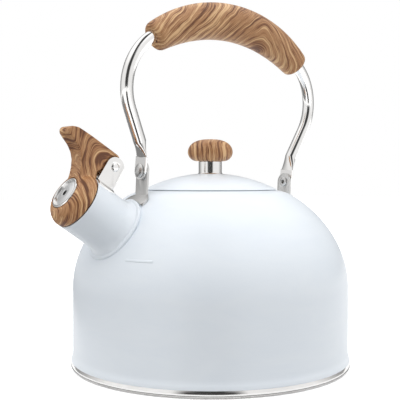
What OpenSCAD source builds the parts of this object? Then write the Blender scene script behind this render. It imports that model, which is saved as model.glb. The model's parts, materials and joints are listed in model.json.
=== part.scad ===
// Stovetop whistling kettle: domed steel body, slanted spout with a hinged
// whistle cap, loose lid and a fold-down bail handle. Millimetres, +Z up.
// Origin: centre of the flat bottom. The spout points towards -X.

/* [Body] */
// Outer radius of the bright base rim
base_r = 100; // [90:1:110]
// Outer radius of the straight wall
wall_r = 98.5; // [96:0.5:99]
// Height at which the dome starts
dome_z = 56; // [50:1:60]
// Height of the dome's quarter ellipse
dome_h = 81.7; // [80:0.1:84]
// Thickness of the body and spout sheet
sheet_t = 0.6; // [0.5:0.1:1]
// Inner radius of the filling neck
neck_r = 45; // [44:0.5:46]

/* [Spout] */
// Elevation of the spout's axis in degrees
spout_tilt = 34; // [32:0.5:36]
// Outer radius of the spout tube
spout_r = 19; // [18.5:0.1:19.2]
// Radius of the collar at the spout's foot
collar_r = 22.3; // [21.5:0.1:22.8]

/* [Lid] */
// Outer radius of the lid
lid_r = 47.8; // [47.4:0.1:48.5]
// Greatest radius of the knob
knob_r = 16.2; // [15:0.1:17]
// Radius of the knob's steel stem
stem_r = 8.4; // [7.5:0.1:9]

/* [Handle] */
// Lean of the bail towards the rear in degrees
bail_lean = 3.3; // [0:0.1:4]
// Turn of the bail on its rivets towards the near side in degrees
bail_tilt = 4; // [0:0.5:6]
// Outer diameter of the bail tube
tube_d = 8.7; // [8:0.1:9]
// Wall of the bail tube
tube_t = 0.9; // [0.7:0.1:1.2]
// Radius of the rivets' shanks
rivet_r = 2.5; // [2.2:0.1:3]
// Thickness of the grip at its middle
grip_h = 26.4; // [25:0.1:28]
// Width of the grip at its middle
grip_w = 25; // [22:0.5:27]

/* [Whistle] */
// Greatest radius of the whistle cap's nose
nose_r = 19.3; // [19:0.1:19.6]
// Radius of the whistle's steel bezel
bezel_r = 11.1; // [10.9:0.1:11.3]
// Half width of the thumb lever
lever_w = 7.2; // [6.9:0.1:8]

/* [Hidden] */
$fn = 96;
big = 400;

// Base: capsule cap, heat disc and vessel floor
rim_h = 5.3;
cap_t = 0.6;
cap_r = 94;
disc_t = 2.6;
floor_t = 0.8;
floor_z = cap_t + disc_t;

// Dome of the body
dome_flat_r = 62;
dome_flat_drop = 2.4;
neck_lip_r = 46.6;
neck_low_z = 118.6;
function dome_drop(r) = r < dome_flat_r ? dome_flat_drop * pow((dome_flat_r - r) / 14, 2) : 0;
function dome_height(r) = dome_z + dome_h * sqrt(max(0, 1 - pow(r / wall_r, 2))) - dome_drop(r);
dome_steps = 26;
dome_radii = [for (i = [0:dome_steps])
    neck_lip_r + (wall_r - neck_lip_r) * sin(90 * i / dome_steps)];

// Spout frame: X' forward along the axis, Z' up across it
spout_pos = [-117.7, 0, 124.5];
mouth_x = -11.4;
collar_x = -44;
flare_x = -34;
collar_out_r = collar_r + 1.3;
bore_r = spout_r - sheet_t;

// Lever hinge, in the spout frame
pin_x = -18;
pin_n = 31.65;
pin_r = 1.6;
pin_gap = 0.05;
ear_w = 13.4;
ear_in = 6.6;
ear_t = 1.4;
saddle_t = 1;
saddle_w = 12;
saddle_gap = 0.4;

// Bail frame: X' from front to rear through both rivets, Z' up the bail
bail_x = 7.65;
bail_z = 134.7;
strap_out = 66.95;
strap_t = 1.5;
strap_w = 13.4;
fold_gap = 0.15;
strap_foot_x = [-60.2, 73.5];
plate_in = strap_out + fold_gap;
plate_t = 1.7;
plate_w = 12.5;
plate_top = 9.5;
arm_gap = 0.05;
foot_t = 1.4;
tube_angle = 64.5;
tube_run = 23.6;
bend_c = [44.6, 58];
bend_r = 40;
bend_end = 75;
bend_steps = 16;
crush_steps = 7;
tube_sides = 24;
bend_start = bend_c + bend_r * [sin(tube_angle), -cos(tube_angle)];
tube_foot = bend_start - tube_run * [cos(tube_angle), sin(tube_angle)];

// Grip: arc of constant radius with a section that swells to its middle
grip_arc_r = 115.3;
grip_arc_z = -4.3;
grip_half = 35.3;
grip_rings = 22;
grip_sides = 28;

// Lid
lid_z = 125.8;
lid_top_z = 137.2;
lid_t = 0.8;
lid_arc_r = (pow(lid_r, 2) + pow(lid_top_z - lid_z, 2)) / (2 * (lid_top_z - lid_z));
skirt_r = 44.1;
screw_r = 2;
knob_z = 145.9;
knob_top_z = 161.7;
washer_r = 6;

module in_spout() {
    translate(spout_pos) rotate([0, spout_tilt, 0]) rotate([0, 0, 180]) children();
}

// Turns a profile of [radius, place along the spout] about the spout's axis
module spout_turn(points) {
    in_spout() rotate([0, 90, 0]) rotate_extrude() polygon(points);
}

module in_bail() {
    translate([bail_x, 0, bail_z]) rotate([0, bail_lean, 0]) children();
}

// Frame of everything that turns with the bail
module in_arms() {
    in_bail() rotate([bail_tilt, 0, 0]) children();
}

module dome_solid(grow) {
    rotate_extrude() polygon(concat(
        [[0, rim_h], [wall_r + grow, rim_h]],
        [for (i = [dome_steps:-1:0]) [dome_radii[i] + grow * dome_radii[i] / wall_r,
            dome_height(dome_radii[i]) + grow * (1 - pow(dome_radii[i] / wall_r, 8))]],
        [[0, dome_height(neck_lip_r) + grow]]));
}

// ---- body ----

module body_shell() {
    outer = [for (i = [dome_steps:-1:0]) [dome_radii[i], dome_height(dome_radii[i])]];
    inner = [for (i = [0:dome_steps]) [dome_radii[i] - sheet_t * dome_radii[i] / wall_r,
        dome_height(dome_radii[i]) - sheet_t]];
    color("white") difference() {
        union() {
            rotate_extrude() polygon(concat(
                [[base_r - 0.5, rim_h], [base_r - 0.7, rim_h + 1.6], [wall_r + 0.2, rim_h + 3.8],
                    [wall_r, rim_h + 6]],
                outer,
                [[neck_r + 0.6, dome_height(neck_lip_r) - 0.1], [neck_r, dome_height(neck_lip_r) - 0.8],
                    [neck_r, neck_low_z], [neck_r + sheet_t, neck_low_z]],
                [for (p = inner) [max(p[0], neck_r + sheet_t), p[1]]],
                [[wall_r - sheet_t, rim_h + 6], [wall_r - sheet_t, rim_h]]));
            level_mark();
        }
        spout_turn([[0, -70], [bore_r, -70], [bore_r, mouth_x], [0, mouth_x]]);
    }
}

// Raised filling line pressed into the wall, towards the near side of the spout
module level_mark() {
    mark_l = 20;
    mark_h = 1.2;
    mark_z = 82;
    mark_angle = 23;
    intersection() {
        difference() {
            dome_solid(0.5);
            dome_solid(-0.3);
        }
        rotate([0, 0, 180 + mark_angle]) translate([60, -mark_l / 2, mark_z]) cube([60, mark_l, mark_h]);
    }
}

module base_pan() {
    color("silver") rotate_extrude() polygon([
        [0, floor_z], [cap_r + 0.6, floor_z], [cap_r + 1.4, 0.9], [cap_r + 2.2, 0.3],
        [base_r - 1.6, 0.3], [base_r - 0.5, 0.8], [base_r, 1.8], [base_r, 3.8],
        [base_r - 0.3, 4.8], [base_r - 0.9, rim_h], [wall_r - sheet_t - 0.6, rim_h],
        [wall_r - sheet_t - 1.2, floor_z + floor_t], [0, floor_z + floor_t]]);
}

module heat_disc() {
    color("lightgray") translate([0, 0, cap_t]) cylinder(r = cap_r - cap_t, h = disc_t);
}

module base_cap() {
    color("gainsboro") rotate_extrude() polygon([
        [0, 0], [cap_r - 1, 0], [cap_r, 1], [cap_r, floor_z],
        [cap_r - cap_t, floor_z], [cap_r - cap_t, cap_t], [0, cap_t]]);
}

module spout_tube() {
    color("white") difference() {
        spout_turn([
            [0, -56], [collar_r, -56], [collar_r, collar_x - 1], [collar_r + 0.9, collar_x - 0.8],
            [collar_r + 1.2, collar_x], [collar_r + 0.9, collar_x + 0.8], [collar_r, collar_x + 1.1],
            [20.7, collar_x + 2.2], [19.9, collar_x + 4.2], [19.3, collar_x + 6.6], [spout_r, flare_x],
            [spout_r, mouth_x - 0.3], [spout_r - 0.3, mouth_x], [0, mouth_x]]);
        dome_solid(0);
        spout_turn([[0, -70], [bore_r, -70], [bore_r, 0], [0, 0]]);
    }
}

// ---- lever hinge ----

module hinge_bracket() {
    color("silver") difference() {
        in_spout() {
            intersection() {
                translate([pin_x, 0, 0]) rotate([0, 90, 0])
                    cylinder(r = spout_r + saddle_t, h = 2 * ear_w, center = true);
                translate([pin_x - ear_w / 2, -saddle_w, 0])
                    cube([mouth_x - saddle_gap - pin_x + ear_w / 2, 2 * saddle_w, 40]);
            }
            intersection() {
                translate([pin_x - ear_w, -saddle_w, 0]) cube([ear_w * 2, 2 * saddle_w, 40]);
                for (side = [-1, 1]) translate([0, side * (ear_in + ear_t / 2), 0]) ear();
            }
        }
        spout_turn([[0, -60], [spout_r, -60], [spout_r, mouth_x - saddle_gap],
            [nose_r + 0.5, mouth_x - saddle_gap], [nose_r + 0.5, 10], [0, 10]]);
        in_spout() translate([pin_x, 0, pin_n]) rotate([90, 0, 0])
            cylinder(r = pin_r, h = 40, center = true);
    }
}

module ear() {
    translate([pin_x, 0, pin_n]) rotate([90, 0, 0]) cylinder(r = ear_w / 2, h = ear_t, center = true);
    translate([pin_x - ear_w / 2, -ear_t / 2, 14]) cube([ear_w, ear_t, pin_n - 14]);
}

module hinge_pin() {
    head_r = 2.9;
    head_h = 0.9;
    end = ear_in + ear_t;
    color("silver") in_spout() translate([pin_x, 0, pin_n]) rotate([90, 0, 0])
        rotate_extrude() polygon([
            [0, -end - head_h], [head_r - 0.9, -end - head_h], [head_r, -end - 0.3], [head_r, -end],
            [pin_r, -end], [pin_r, end], [head_r, end], [head_r, end + 0.3],
            [head_r - 0.9, end + head_h], [0, end + head_h]]);
}

// Torsion spring round the pin: touching turns and two straight legs
module lever_spring() {
    wire_r = 0.45;
    turn_r = 2.7;
    turns = 6;
    pitch = 0.85;
    color("gray") in_spout() translate([pin_x, 0, pin_n]) {
        rotate([90, 0, 0]) rotate_extrude() polygon(concat(
            [for (i = [0:turns - 1]) for (a = [-70:28:70])
                [turn_r + wire_r * cos(a), (i - (turns - 1) / 2) * pitch + wire_r * sin(a)]],
            [for (i = [turns - 1:-1:0]) for (a = [110:28:250])
                [turn_r + wire_r * cos(a), (i - (turns - 1) / 2) * pitch + wire_r * sin(a)]]));
        for (side = [-1, 1]) translate([turn_r * side, side * (turns - 1) / 2 * pitch, 0])
            rotate([0, side > 0 ? 118 : 180, 0]) cylinder(r = wire_r - 0.1, h = 8.6, $fn = 24);
    }
}

// ---- bail brackets and rivets ----

// Outline of a bracket's foot: X outward from the strap's face, a lobe beside each edge
module foot_outline() {
    lobe_r = 4.3;
    lobe = [4.6, 8.5];
    polygon(concat(
        [[-strap_t, strap_w / 2]],
        [for (a = [160:-20:-20]) lobe + lobe_r * [cos(a), sin(a)]],
        [[8.3, 4.4], [7.8, 2], [7.8, -2], [8.3, -4.4]],
        [for (a = [20:-20:-160]) [lobe[0], -lobe[1]] + lobe_r * [cos(a), sin(a)]],
        [[-strap_t, -strap_w / 2]]));
}

// side is 1 for the rear bracket and -1 for the front one
module bracket(side) {
    strap_low = -24;
    foot_x = side > 0 ? strap_foot_x[1] : strap_foot_x[0];
    difference() {
        union() {
            in_bail() {
                translate([side > 0 ? strap_out - strap_t : -strap_out, -strap_w / 2, strap_low])
                    cube([strap_t, strap_w, -strap_low]);
                translate([side > 0 ? strap_out - strap_t : -strap_out, 0, 0]) rotate([0, 90, 0])
                    cylinder(r = strap_w / 2, h = strap_t);
            }
            intersection() {
                dome_solid(foot_t);
                translate([foot_x, 0, 80]) linear_extrude(60) rotate(side > 0 ? 0 : 180) foot_outline();
            }
        }
        dome_solid(0);
        spout_turn([[0, -60], [collar_out_r, -60], [collar_out_r, collar_x + 1.3], [0, collar_x + 1.3]]);
        in_bail() rotate([0, 90, 0]) cylinder(r = rivet_r, h = 2 * big, center = true);
    }
}

module front_bracket() {
    color("silver") bracket(-1);
}

module rear_bracket() {
    color("silver") bracket(1);
}

// Tubular rivet: domed head outside the arm, rolled open end inside the strap
module rivet(side) {
    head_r = 4.9;
    head_in = plate_in + plate_t + 0.1;
    tail = strap_out - strap_t;
    in_bail() rotate([0, side * 90, 0]) difference() {
        rotate_extrude() polygon([
            [0, tail - 1.1], [2.9, tail - 1.1], [3.5, tail - 0.8], [3.5, tail], [rivet_r, tail],
            [rivet_r, head_in], [head_r, head_in], [head_r, head_in + 0.5], [head_r - 0.9, head_in + 1.2],
            [head_r - 2.4, head_in + 1.8], [0, head_in + 2]]);
        translate([0, 0, tail - 2]) cylinder(r = 1.5, h = 4.5);
    }
}

module front_rivet() {
    color("silver") rivet(-1);
}

module rear_rivet() {
    color("silver") rivet(1);
}

// ---- bail ----

// Rings swept along a tube: [x, z, direction of travel, half width, half depth, squareness]
function ring_point(st, k, n) =
    let (q = 360 * k / n,
        w = st[3] * sign(cos(q)) * pow(abs(cos(q)), st[5]),
        h = st[4] * sign(sin(q)) * pow(abs(sin(q)), st[5]))
    [st[0] + h * sin(st[2]), w, st[1] - h * cos(st[2])];

module swept_rings(rings, n) {
    last = len(rings) - 1;
    polyhedron(
        points = [for (st = rings) for (k = [0:n - 1]) ring_point(st, k, n)],
        faces = concat(
            [[for (k = [n - 1:-1:0]) k], [for (k = [0:n - 1]) last * n + k]],
            [for (i = [0:last - 1]) for (k = [0:n - 1]) each [
                [i * n + k, i * n + (k + 1) % n, (i + 1) * n + (k + 1) % n],
                [i * n + k, (i + 1) * n + (k + 1) % n, (i + 1) * n + k]]]));
}

// The crushed end opens out from the plate's top to the round tube
function crush_rings() = [for (i = [0:crush_steps])
    let (t = i / crush_steps, b = pow(t, 1.3),
        x = (1 - t) * (plate_in + plate_t / 2) + t * tube_foot[0])
    [x, (1 - t) * (plate_top - 0.5) + t * tube_foot[1], 90 - (90 - tube_angle) * t,
        (1 - b) * (plate_w / 2 - 0.05) + b * tube_d / 2, (1 - b) * (plate_t / 2 - 0.05) + b * tube_d / 2,
        0.3 + 0.7 * b]];
function bend_rings(r) = [for (i = [0:bend_steps])
    let (a = tube_angle - 90 + (bend_end + 90 - tube_angle) * i / bend_steps)
    [bend_c[0] + bend_r * cos(a), bend_c[1] + bend_r * sin(a), a + 90, r, r, 1]];
function foot_ring(r) = [tube_foot[0], tube_foot[1], tube_angle, r, r, 1];
function reversed(list) = [for (i = [len(list) - 1:-1:0]) list[i]];

// The bent end of the tube with a given section radius, as it lies in the grip
module tube_end(r) {
    translate([bend_c[0], 0, bend_c[1]]) rotate([90, 0, 0])
        rotate_extrude(angle = bend_end) translate([bend_r, 0]) circle(r = r);
}

module arm(side) {
    outer = concat(crush_rings(), bend_rings(tube_d / 2));
    inner = concat(reversed(bend_rings(tube_d / 2 - tube_t)), [foot_ring(tube_d / 2 - tube_t)]);
    in_arms() mirror([side > 0 ? 0 : 1, 0, 0]) {
        difference() {
            union() {
                translate([plate_in, 0, 0]) rotate([0, 90, 0]) cylinder(r = plate_w / 2, h = plate_t);
                translate([plate_in, -plate_w / 2, 0]) cube([plate_t, plate_w, plate_top]);
            }
            translate([plate_in - 1, 0, 0]) rotate([0, 90, 0])
                cylinder(r = rivet_r + arm_gap, h = plate_t + 2);
        }
        swept_rings(concat(outer, inner), tube_sides);
    }
}

module front_arm() {
    color("silver") arm(-1);
}

module rear_arm() {
    color("silver") arm(1);
}

// Points of one ring of the grip: t runs from -1 to 1 along it, s scales the section
function grip_swell(t) = 1 - 0.23 * pow(abs(t), 2.2);
function grip_point(t, s, k) =
    let (a = t * grip_half, q = 360 * k / grip_sides,
        w = s * grip_w / 2 * grip_swell(t) * sign(cos(q)) * pow(abs(cos(q)), 0.86),
        h = s * grip_h / 2 * grip_swell(t) * sign(sin(q)) * pow(abs(sin(q)), 0.86))
    [(grip_arc_r + h) * sin(a), w, grip_arc_z + (grip_arc_r + h) * cos(a)];
function grip_stops() = concat([[-1, 0.72], [-0.992, 0.88]],
    [for (i = [0:grip_rings]) [-0.975 + 1.95 * i / grip_rings, i == 0 || i == grip_rings ? 0.97 : 1]],
    [[0.992, 0.88], [1, 0.72]]);

module grip_solid() {
    stops = grip_stops();
    n = grip_sides;
    last = len(stops) - 1;
    polyhedron(
        points = [for (st = stops) for (k = [0:n - 1]) grip_point(st[0], st[1], k)],
        faces = concat(
            [[for (k = [0:n - 1]) k], [for (k = [n - 1:-1:0]) last * n + k]],
            [for (i = [0:last - 1]) for (k = [0:n - 1]) each [
                [i * n + (k + 1) % n, i * n + k, (i + 1) * n + (k + 1) % n],
                [(i + 1) * n + (k + 1) % n, i * n + k, (i + 1) * n + k]]]));
}

module grip() {
    color("peru") in_arms() difference() {
        grip_solid();
        for (m = [0, 1]) mirror([m, 0, 0]) {
            tube_end(tube_d / 2);
            grip_screw_place() cylinder(r = 3.2, h = 12);
            grip_screw_place() translate([0, 0, -9]) cylinder(r = 1.5, h = 12);
        }
    }
}

// A screw near each end of the grip, from below into the grip beyond the tube's end
module grip_screw_place() {
    a = 26;
    translate([0, 0, grip_arc_z]) rotate([0, a, 0]) translate([0, 0, grip_arc_r - 8.6])
        rotate([180, 0, 0]) children();
}

module grip_screws() {
    color("gray") in_arms() for (m = [0, 1]) mirror([m, 0, 0]) grip_screw_place() difference() {
        union() {
            cylinder(r = 2.8, h = 1.8);
            translate([0, 0, -9]) cylinder(r = 1.5, h = 9.5);
        }
        translate([0, 0, 1]) cylinder(r = 1.1, h = 2, $fn = 6);
    }
}

// ---- lid ----

function lid_height(r) = lid_top_z - lid_arc_r + sqrt(pow(lid_arc_r, 2) - r * r);
lid_steps = 16;
lid_radii = [for (i = [0:lid_steps]) screw_r + 0.2 + (lid_r - screw_r - 0.2) * i / lid_steps];

washer_z = lid_height(washer_r) - lid_t - 0.6;

// Height of the lid's faceted outer face, which its inner parts follow
function lid_face(r) = lookup(r, [for (q = lid_radii) [q, lid_height(q)]]);
function lid_points(low_r, high_r, down) = concat(
    [[low_r, lid_face(low_r) - down]],
    [for (q = lid_radii) if (q > low_r && q < high_r) [q, lid_face(q) - down]],
    [[high_r, lid_face(high_r) - down]]);

module lid_shell() {
    edge_r = lid_r - 0.9;
    color("white") rotate_extrude() polygon(concat(
        lid_points(screw_r + 0.2, lid_r, 0),
        [[lid_r, lid_z - 0.3], [edge_r, lid_z - 0.3]],
        reversed(lid_points(screw_r + 0.2, edge_r, lid_t))));
}

// Sleeve with a flange, spot-welded inside the lid
module lid_skirt() {
    low_z = 117.6;
    flange_r = 40;
    skirt_t = 0.7;
    color("silver") rotate_extrude() polygon(concat(
        [[skirt_r, low_z]],
        reversed(lid_points(flange_r, skirt_r, lid_t)),
        [[flange_r, lid_face(flange_r) - lid_t - skirt_t],
            [skirt_r - skirt_t, lid_face(skirt_r) - lid_t - skirt_t], [skirt_r - skirt_t, low_z]]));
}

module knob_stem() {
    foot_r = stem_r + 0.8;
    color("silver") rotate_extrude() polygon(concat(
        lid_points(screw_r + 0.2, foot_r, 0),
        [[stem_r, lid_face(stem_r) + 0.9], [stem_r, knob_z], [screw_r + 0.2, knob_z]]));
}

// Knob profile: domed top, widest near its middle, tucked in at its foot
module lid_knob() {
    mid_z = 152.4;
    color("peru") difference() {
        rotate_extrude() polygon(concat(
            [[0, knob_z], [9.4, knob_z]],
            [for (a = [-80:10:0]) [9.6 + (knob_r - 9.6) * cos(a), mid_z + (mid_z - knob_z) * sin(a)]],
            [for (a = [10:10:90]) [knob_r * pow(cos(a), 0.72), mid_z + (knob_top_z - mid_z) * sin(a)]]));
        translate([0, 0, knob_z - 1]) cylinder(r = 3, h = 9);
    }
}

module knob_insert() {
    color("goldenrod") difference() {
        translate([0, 0, knob_z]) cylinder(r = 3, h = 8);
        translate([0, 0, knob_z - 1]) cylinder(r = screw_r, h = 10);
    }
}

module knob_screw() {
    color("gray") difference() {
        union() {
            translate([0, 0, washer_z]) cylinder(r = screw_r, h = knob_z + 7 - washer_z);
            translate([0, 0, washer_z - 2]) cylinder(r = 3.8, h = 2);
        }
        translate([0, 0, washer_z - 3]) cylinder(r = 1.5, h = 2, $fn = 6);
    }
}

module knob_washer() {
    color("silver") rotate_extrude() polygon(concat(
        [[screw_r, washer_z], [washer_r, washer_z]],
        reversed(lid_points(screw_r + 0.2, washer_r, lid_t)),
        [[screw_r, lid_face(screw_r) - lid_t]]));
}

// ---- whistle cap ----

cap_back = -11;
seat_r = bezel_r + 0.5;
sleeve_r = 10.7;
sleeve_in_r = 10;
seat_x = -1.2;
pocket_x = -7.8;
pocket_r = 17.2;

// Side outline of the thumb lever in the spout frame: [along, up]
function lever_front() = [[-6, 8], [-0.6, 8], [-0.1, 10.2], [0.8, 13.5], [2.4, 18], [4.8, 22.5], [7.9, 25.9],
    [12.2, 28.6], [16.6, 30]];
function lever_tip() = [for (a = [-50:20:90]) [18.2 + 4 * cos(a), 34 + 3.8 * sin(a)]];
function lever_back() = [[12.9, 38.5], [6.8, 38.9], [-10, 39.5], [-17, 39.6]];

module lever_wide() {
    clear_r = ear_w / 2 + 0.7;
    polygon(concat(lever_front(), lever_tip(), lever_back(),
        [for (a = [90:-15:0]) [pin_x + clear_r * cos(a), pin_n + clear_r * sin(a)]],
        [[pin_x + clear_r, 17.4]]));
}

module lever_tail() {
    translate([pin_x, pin_n]) circle(r = 5.9);
    polygon([[pin_x, pin_n - 5.9], [pin_x + 14, pin_n - 4.4], [pin_x + 14, 39.3],
        [pin_x + 1, 39.6], [pin_x - 3, 38.4], [pin_x - 5.9, pin_n]]);
}

module lever_slab(half) {
    rotate([90, 0, 0]) linear_extrude(2 * half, center = true) children();
}

module whistle_cap() {
    color("peru") difference() {
        union() {
            spout_turn([[0, cap_back], [nose_r - 0.6, cap_back], [nose_r, cap_back + 0.8], [nose_r, -9],
                [18.7, -6.4], [17.3, -4.2], [15.5, -2.2], [13.6, -0.9], [12.4, -0.3], [0, -0.3]]);
            in_spout() {
                lever_slab(lever_w) lever_wide();
                lever_slab(ear_in - 0.4) lever_tail();
            }
        }
        spout_turn([[0, cap_back - 1], [pocket_r, cap_back - 1], [pocket_r, pocket_x], [sleeve_r, pocket_x],
            [sleeve_r, seat_x], [seat_r, seat_x], [seat_r, 8], [0, 8]]);
        in_spout() {
            translate([pin_x, 0, pin_n]) rotate([90, 0, 0]) {
                cylinder(r = pin_r + pin_gap, h = 60, center = true);
                cylinder(r = 3.6, h = 7, center = true);
            }
            translate([pin_x - 9, -3.5, pin_n - 12]) cube([20.5, 7, 13]);
        }
    }
}

module whistle_bezel() {
    color("silver") spout_turn([
        [9.3, -0.9], [9.3, 0], [9.8, 0.5], [10.5, 0.5], [bezel_r, 0], [bezel_r, seat_x],
        [sleeve_r, seat_x], [sleeve_r, pocket_x], [sleeve_in_r, pocket_x], [sleeve_in_r, -0.9]]);
}

// Slightly domed orifice plate, about flush with the bezel
module whistle_front_disc() {
    color("silver") spout_turn([
        [1.9, 0.1], [4.5, 0], [7.2, -0.4], [9.2, -0.9], [sleeve_in_r, -0.9], [sleeve_in_r, -1.5],
        [9.2, -1.5], [7.2, -1], [4.5, -0.6], [1.9, -0.5]]);
}

module whistle_rear_disc() {
    color("silver") spout_turn([
        [1.6, -6.6], [sleeve_in_r, -6.6], [sleeve_in_r, -7.2], [1.6, -7.2]]);
}

// Steel cup behind the whistle that reaches into the spout's mouth
module whistle_plug() {
    plug_r = 16;
    plug_t = 0.8;
    plug_end = -16;
    color("silver") spout_turn([
        [7, pocket_x], [pocket_r, pocket_x], [pocket_r, pocket_x - plug_t], [plug_r, pocket_x - plug_t],
        [plug_r, plug_end + 0.6], [plug_r - 0.6, plug_end], [plug_r - plug_t - 0.2, plug_end],
        [plug_r - plug_t - 0.2, pocket_x - plug_t], [7, pocket_x - plug_t]]);
}

body_shell();
base_pan();
heat_disc();
base_cap();
spout_tube();
hinge_bracket();
hinge_pin();
lever_spring();
front_bracket();
rear_bracket();
front_rivet();
rear_rivet();
front_arm();
rear_arm();
grip();
grip_screws();
lid_shell();
lid_skirt();
knob_stem();
lid_knob();
knob_insert();
knob_screw();
knob_washer();
whistle_cap();
whistle_bezel();
whistle_front_disc();
whistle_rear_disc();
whistle_plug();
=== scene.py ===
import bpy, math, json
from mathutils import Matrix, Vector


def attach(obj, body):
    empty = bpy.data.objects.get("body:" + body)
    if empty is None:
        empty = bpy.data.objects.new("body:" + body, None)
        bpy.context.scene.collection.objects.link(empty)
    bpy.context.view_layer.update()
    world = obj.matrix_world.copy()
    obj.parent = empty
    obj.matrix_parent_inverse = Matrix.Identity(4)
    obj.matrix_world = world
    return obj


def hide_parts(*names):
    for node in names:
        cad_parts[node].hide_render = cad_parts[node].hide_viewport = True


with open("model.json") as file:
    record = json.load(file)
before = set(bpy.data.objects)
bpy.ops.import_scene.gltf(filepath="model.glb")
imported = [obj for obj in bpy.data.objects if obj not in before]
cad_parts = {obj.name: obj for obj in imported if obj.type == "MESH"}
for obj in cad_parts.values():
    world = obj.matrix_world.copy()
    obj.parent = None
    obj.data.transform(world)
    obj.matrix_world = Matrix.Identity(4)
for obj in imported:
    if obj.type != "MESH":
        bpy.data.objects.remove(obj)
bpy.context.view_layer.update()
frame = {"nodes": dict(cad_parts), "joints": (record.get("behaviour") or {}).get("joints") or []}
bpy.ops.object.select_all(action='DESELECT')

scene = bpy.context.scene
nodes = frame["nodes"]
joints = {joint["name"]: joint for joint in frame["joints"]}
mm = 0.001
print("stage: frame loaded,", len(nodes), "nodes")


# camera: level studio view, spout turned towards the viewer
camera = {
    "azimuth": -38.5,      # degrees, from the near side towards the spout
    "distance": 0.574,     # m from the kettle's axis
    "height": 0.1334,      # m above the floor
    "focal": 71.4,         # mm on a 36 mm sensor
    "aimDown": 1.55,       # degrees
    "aimLeft": 0.74,       # degrees
}
viewTurn = math.radians(camera["azimuth"])
viewSide = Vector((math.sin(viewTurn), -math.cos(viewTurn), 0))


def addCamera():
    place = viewSide * camera["distance"]
    place.z = camera["height"]
    bpy.ops.object.camera_add(location=place)
    cam = bpy.context.object
    cam.name = "viewCamera"
    tilt = math.radians(90 - camera["aimDown"])
    cam.rotation_euler = (tilt, 0, viewTurn + math.radians(camera["aimLeft"]))
    cam.data.lens = camera["focal"]
    cam.data.sensor_width = 36
    cam.data.clip_start = 0.01
    cam.data.dof.use_dof = False
    scene.camera = cam


# mesh helpers: everything below is drawn with these
def deselectAll():
    if bpy.context.object and bpy.context.object.mode != 'OBJECT':
        bpy.ops.object.mode_set(mode='OBJECT')
    bpy.ops.object.select_all(action='DESELECT')


def makeActive(piece):
    deselectAll()
    bpy.context.view_layer.objects.active = piece
    piece.select_set(True)


def roundCorners(points, steps=5):
    # points are (x, y) or (x, y, radius); a radius turns that corner into an arc
    rounded = []
    for i, point in enumerate(points):
        here = Vector(point[:2])
        if len(point) < 3:
            rounded.append(here)
            continue
        before = Vector(points[i - 1][:2]) - here
        after = Vector(points[(i + 1) % len(points)][:2]) - here
        half = before.angle(after) / 2
        reach = min(point[2] / math.tan(half), 0.48 * before.length, 0.48 * after.length)
        middle = (before.normalized() + after.normalized()).normalized() * (reach / math.cos(half))
        start = before.normalized() * reach - middle
        end = after.normalized() * reach - middle
        for k in range(steps + 1):
            rounded.append(here + middle + start.slerp(end, k / steps).normalized() * start.length)
    return rounded


def drawOutline(name, points, axes, closed=True):
    # one vertex, walked along the outline by extrusion; axes are the outline's two directions
    deselectAll()
    bpy.ops.mesh.primitive_plane_add(size=mm)
    piece = bpy.context.object
    piece.name = name
    bpy.ops.object.mode_set(mode='EDIT')
    bpy.ops.mesh.select_all(action='SELECT')
    bpy.ops.mesh.merge(type='CENTER')
    places = [(axes[0] * p[0] + axes[1] * p[1]) * mm for p in points]
    bpy.ops.transform.translate(value=places[0])
    for last, place in zip(places, places[1:]):
        bpy.ops.mesh.extrude_vertices_move(TRANSFORM_OT_translate={"value": place - last})
    if closed:
        bpy.ops.object.mode_set(mode='OBJECT')
        ends = (0, len(places) - 1)
        for vertex in piece.data.vertices:
            vertex.select = vertex.index in ends
        bpy.ops.object.mode_set(mode='EDIT')
        bpy.ops.mesh.edge_face_add()
    bpy.ops.mesh.select_all(action='SELECT')
    return piece


def settle(piece, place=None, smooth=35):
    # puts the mesh where it belongs, with its object at the origin
    makeActive(piece)
    if place is not None:
        piece.matrix_world = place
        bpy.ops.object.transform_apply(location=True, rotation=True, scale=True)
    bpy.ops.object.mode_set(mode='EDIT')
    bpy.ops.mesh.select_all(action='SELECT')
    bpy.ops.mesh.remove_doubles(threshold=0.002 * mm)
    bpy.ops.mesh.normals_make_consistent(inside=False)
    bpy.ops.object.mode_set(mode='OBJECT')
    bpy.ops.object.shade_smooth_by_angle(angle=math.radians(smooth))
    return piece


def spinOutline(name, points, steps=96, place=None, turn=360, smooth=35):
    # (radius, height) outline turned about Z; a full turn from axis to axis, or of a loop, is closed
    closed = points[0][0] > 0
    piece = drawOutline(name, points, (Vector((1, 0, 0)), Vector((0, 0, 1))), closed)
    bpy.ops.mesh.spin(steps=steps, angle=math.radians(turn), center=(0, 0, 0), axis=(0, 0, 1))
    return settle(piece, place, smooth)


def slab(name, points, low, high, place=None, smooth=35):
    # outline in XY given a thickness along Z
    piece = drawOutline(name, points, (Vector((1, 0, 0)), Vector((0, 1, 0))))
    bpy.ops.mesh.edge_face_add()
    bpy.ops.transform.translate(value=(0, 0, low * mm))
    bpy.ops.mesh.extrude_region_move(TRANSFORM_OT_translate={"value": (0, 0, (high - low) * mm)})
    return settle(piece, place, smooth)


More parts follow.
